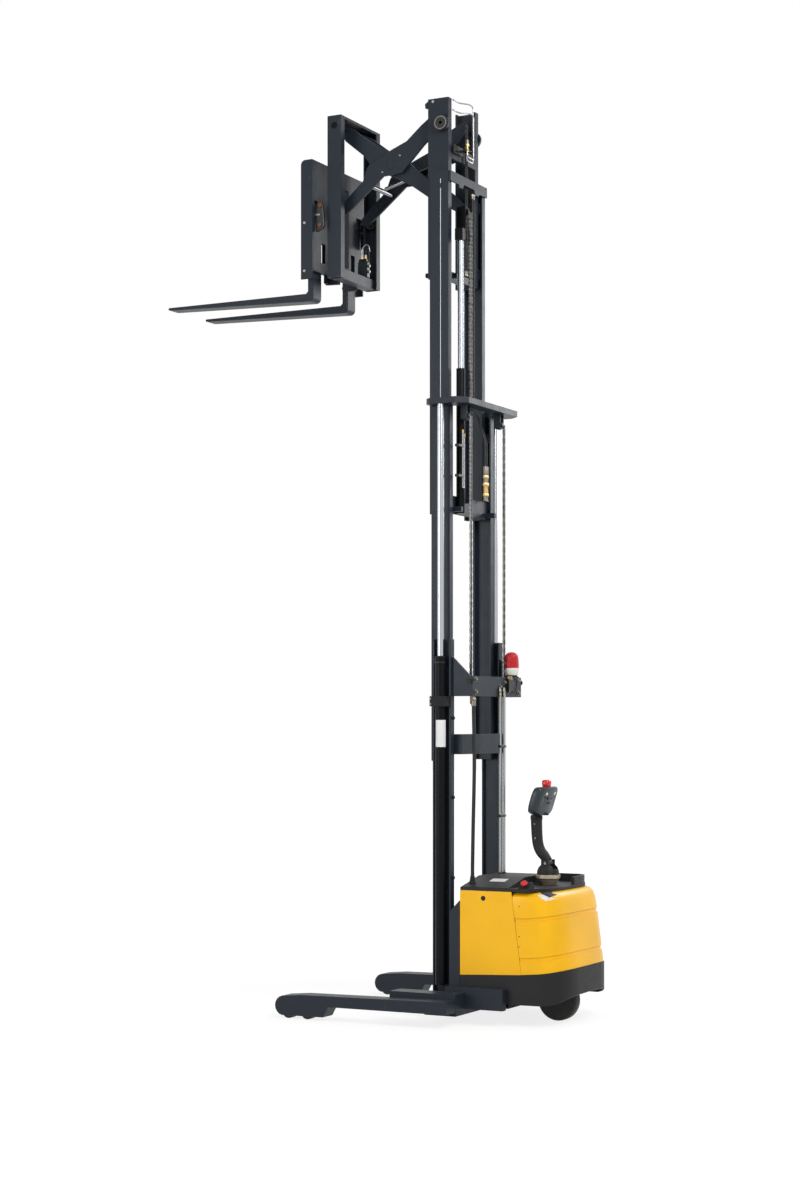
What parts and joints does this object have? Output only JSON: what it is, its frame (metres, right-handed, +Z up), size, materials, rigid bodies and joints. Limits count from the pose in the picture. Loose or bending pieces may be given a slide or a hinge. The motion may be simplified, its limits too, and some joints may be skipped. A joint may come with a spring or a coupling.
{
  "type": "pantograph reach electric pallet stacker",
  "caption": "Pedestrian electric pallet stacker with a tall telescoping mast, pantograph reach carriage, straddle legs, tiller steering and yellow hood.",
  "frame": {"origin": "centre of the plan box on the floor under the wheels", "axes": "+X towards the fork tips, +Y to the truck's left, +Z up"},
  "size_m": [2.8012, 1.39, 5.535],
  "materials": {
    "black_paint": "semi-gloss black paint",
    "black_plastic": "fine-grained matte black",
    "chrome_rod": "ground hard chrome",
    "grey_cast": "machined and greyed casting",
    "hose_rubber": "black hydraulic hose",
    "pale_plastic": "off-white",
    "red_plastic": "gloss red",
    "slate_paint": "satin dark blue-grey powder coat",
    "wheel_tread": "dark polyurethane tread",
    "yellow_paint": "gloss golden yellow paint",
    "zinc": "yellow-passivated steel chain, lightly oiled"
  },
  "bodies": {
    "chassis": {"battery": "black_plastic", "beacon_base": "pale_plastic", "beacon_lens": "red_plastic", "chassis": "slate_paint", "emergency_button": "red_plastic", "leg_left": "slate_paint", "leg_right": "slate_paint", "lid": "black_plastic", "lift_barrel_left": "black_paint", "lift_barrel_right": "black_paint", "lift_chain_left": "zinc", "lift_chain_right": "zinc", "main_hose": "hose_rubber", "outer_crossbar": "slate_paint", "outer_upright_left": "slate_paint", "outer_upright_right": "slate_paint", "rear_cover": "yellow_paint", "side_panel_left": "yellow_paint", "side_panel_right": "yellow_paint", "skirt": "black_plastic"},
    "drive_unit": {"drive_unit": "black_paint"},
    "drive_wheel": {"drive_wheel": "wheel_tread"},
    "load_wheel_front_left": {"load_wheel_front_left": "wheel_tread"},
    "load_wheel_front_right": {"load_wheel_front_right": "wheel_tread"},
    "load_wheel_rear_left": {"load_wheel_rear_left": "wheel_tread"},
    "load_wheel_rear_right": {"load_wheel_rear_right": "wheel_tread"},
    "tiller_base": {"tiller_base": "black_plastic", "tiller_ring": "grey_cast"},
    "tiller_arm": {"belly_button": "red_plastic", "tiller_arm": "black_plastic", "tiller_head": "black_plastic"},
    "middle_mast": {"lift_rod_left": "chrome_rod", "lift_rod_right": "chrome_rod", "middle_crossbar": "slate_paint", "middle_top_plate": "slate_paint", "middle_upright_left": "slate_paint", "middle_upright_right": "slate_paint"},
    "inner_mast": {"free_lift_barrel": "black_paint", "free_lift_chain": "zinc", "inner_bottom_crossbar": "slate_paint", "inner_top_crossbar": "slate_paint", "inner_upright_left": "slate_paint", "inner_upright_right": "slate_paint"},
    "free_lift_head": {"crosshead": "black_paint", "free_lift_rod": "chrome_rod"},
    "reach_carriage": {"carriage_bottom_beam": "slate_paint", "carriage_upright_left": "slate_paint", "carriage_upright_right": "slate_paint", "cylinder_bracket": "slate_paint"},
    "outer_arms": {"outer_arms": "slate_paint", "reach_shaft": "chrome_rod"},
    "inner_arms": {"inner_arms": "slate_paint"},
    "reach_frame": {"reach_frame": "slate_paint"},
    "reach_cylinder": {"reach_cylinder": "black_paint"},
    "reach_rod": {"reach_rod": "chrome_rod"},
    "fork_carriage": {"fork_carriage": "slate_paint", "fork_left": "slate_paint", "fork_right": "slate_paint"}
  },
  "joints": [
    {"name": "mast_lift", "type": "slide", "parent": "chassis", "child": "middle_mast", "axis": [0, 0, 1], "range_m": [-1.39, 0], "deforming": ["lift_chain_left", "lift_chain_right"]},
    {"name": "inner_lift", "type": "slide", "parent": "middle_mast", "child": "inner_mast", "axis": [0, 0, 1], "range_m": [-1.47, 0]},
    {"name": "free_lift", "type": "slide", "parent": "inner_mast", "child": "reach_carriage", "axis": [0, 0, 1], "range_m": [-1.46, 0]},
    {"name": "head_lift", "type": "slide", "parent": "inner_mast", "child": "free_lift_head", "axis": [0, 0, 1], "range_m": [-0.73, 0], "deforming": ["free_lift_chain"]},
    {"name": "reach", "type": "hinge", "parent": "reach_carriage", "child": "outer_arms", "pos_m": [-0.49956, 0, 5.446], "axis": [0, 1, 0], "range_deg": [0, 37.5]},
    {"name": "arm_fold", "type": "hinge", "parent": "outer_arms", "child": "inner_arms", "pos_m": [-0.1539, 0, 5.19023], "axis": [0, 1, 0], "range_deg": [-75, 0]},
    {"name": "frame_level", "type": "hinge", "parent": "inner_arms", "child": "reach_frame", "pos_m": [0.19176, 0, 5.446], "axis": [0, 1, 0], "range_deg": [0, 37.5]},
    {"name": "cylinder_swing", "type": "hinge", "parent": "reach_carriage", "child": "reach_cylinder", "pos_m": [-0.53456, 0, 5.218], "axis": [0, 1, 0], "range_deg": [0, 46]},
    {"name": "rod_slide", "type": "slide", "parent": "reach_cylinder", "child": "reach_rod", "axis": [0.9669, 0, -0.2552], "range_m": [-0.13, 0]},
    {"name": "fork_tilt", "type": "hinge", "parent": "reach_frame", "child": "fork_carriage", "pos_m": [0.31776, 0, 4.519], "axis": [0, 1, 0], "range_deg": [-4, 2]},
    {"name": "tiller_steer", "type": "hinge", "parent": "chassis", "child": "tiller_base", "pos_m": [-1.12856, 0, 0.806], "axis": [0, 0, 1], "range_deg": [-90, 90]},
    {"name": "tiller_tilt", "type": "hinge", "parent": "tiller_base", "child": "tiller_arm", "pos_m": [-1.12856, 0, 0.935], "axis": [0, 1, 0], "range_deg": [-78, 0], "stiffness_Nm_per_rad": 45, "springref_deg": 14.32},
    {"name": "drive_steer", "type": "hinge", "parent": "chassis", "child": "drive_unit", "pos_m": [-1.20056, 0, 0.125], "axis": [0, 0, 1], "range_deg": [-90, 90]},
    {"name": "drive_spin", "type": "hinge", "parent": "drive_unit", "child": "drive_wheel", "pos_m": [-1.20056, 0, 0.125], "axis": [0, 1, 0], "continuous": true},
    {"name": "load_spin_front_left", "type": "hinge", "parent": "chassis", "child": "load_wheel_front_left", "pos_m": [0.27944, 0.635, 0.0425], "axis": [0, 1, 0], "continuous": true},
    {"name": "load_spin_rear_left", "type": "hinge", "parent": "chassis", "child": "load_wheel_rear_left", "pos_m": [0.14944, 0.635, 0.0425], "axis": [0, 1, 0], "continuous": true},
    {"name": "load_spin_front_right", "type": "hinge", "parent": "chassis", "child": "load_wheel_front_right", "pos_m": [0.27944, -0.635, 0.0425], "axis": [0, 1, 0], "continuous": true},
    {"name": "load_spin_rear_right", "type": "hinge", "parent": "chassis", "child": "load_wheel_rear_right", "pos_m": [0.14944, -0.635, 0.0425], "axis": [0, 1, 0], "continuous": true}
  ],
  "couplings": [
    {"joint": "inner_lift", "follows": "mast_lift", "ratio": 1.0575},
    {"joint": "head_lift", "follows": "free_lift", "ratio": 0.5},
    {"joint": "arm_fold", "follows": "reach", "ratio": -2},
    {"joint": "frame_level", "follows": "reach", "ratio": 1},
    {"joint": "cylinder_swing", "follows": "reach", "ratio": 1.2262},
    {"joint": "rod_slide", "follows": "reach", "m_per_rad": -0.19861},
    {"joint": "drive_steer", "follows": "tiller_steer", "ratio": 1}
  ]
}
